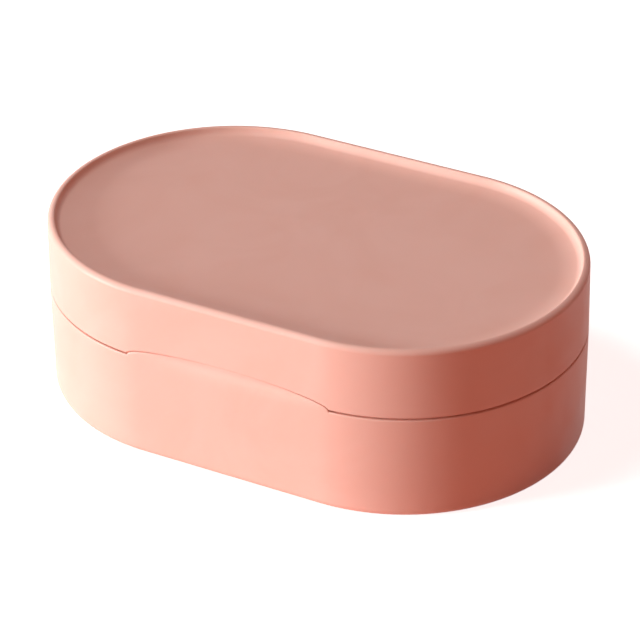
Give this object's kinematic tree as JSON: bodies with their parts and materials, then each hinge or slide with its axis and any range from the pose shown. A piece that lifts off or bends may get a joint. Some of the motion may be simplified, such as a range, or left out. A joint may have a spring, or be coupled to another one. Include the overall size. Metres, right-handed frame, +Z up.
{
  "type": "travel soap box",
  "caption": "Oblong travel soap box with round ends, hinged lid with a dished top, front thumb scoop, lift-out drain tray and seal.",
  "frame": {"origin": "centre of the underside, where the oblong body's two planes of symmetry meet the surface that the box stands on", "axes": "+Z up, +X along the length, -Y towards the front with the thumb scoop, +Y towards the hinge"},
  "size_m": [0.123, 0.0832, 0.041],
  "materials": {
    "peach_shell": "smooth satin moulded plastic",
    "tray_plastic": "smooth satin moulded plastic",
    "seal_silicone": "satin silicone",
    "pin_steel": "drawn stainless wire"
  },
  "bodies": {
    "base": {"base_shell": "peach_shell", "hinge_pin": "pin_steel"},
    "lid": {"lid_shell": "peach_shell", "lid_seal": "seal_silicone"},
    "tray": {"drain_tray": "tray_plastic"}
  },
  "joints": [
    {"name": "lid_hinge", "type": "hinge", "parent": "base", "child": "lid", "pos_m": [0, 0.0406, 0.0246], "axis": [-1, 0, 0], "range_deg": [0, 145]},
    {"name": "tray_lift", "type": "slide", "parent": "base", "child": "tray", "axis": [0, 0, 1], "range_m": [0, 0.015]}
  ]
}
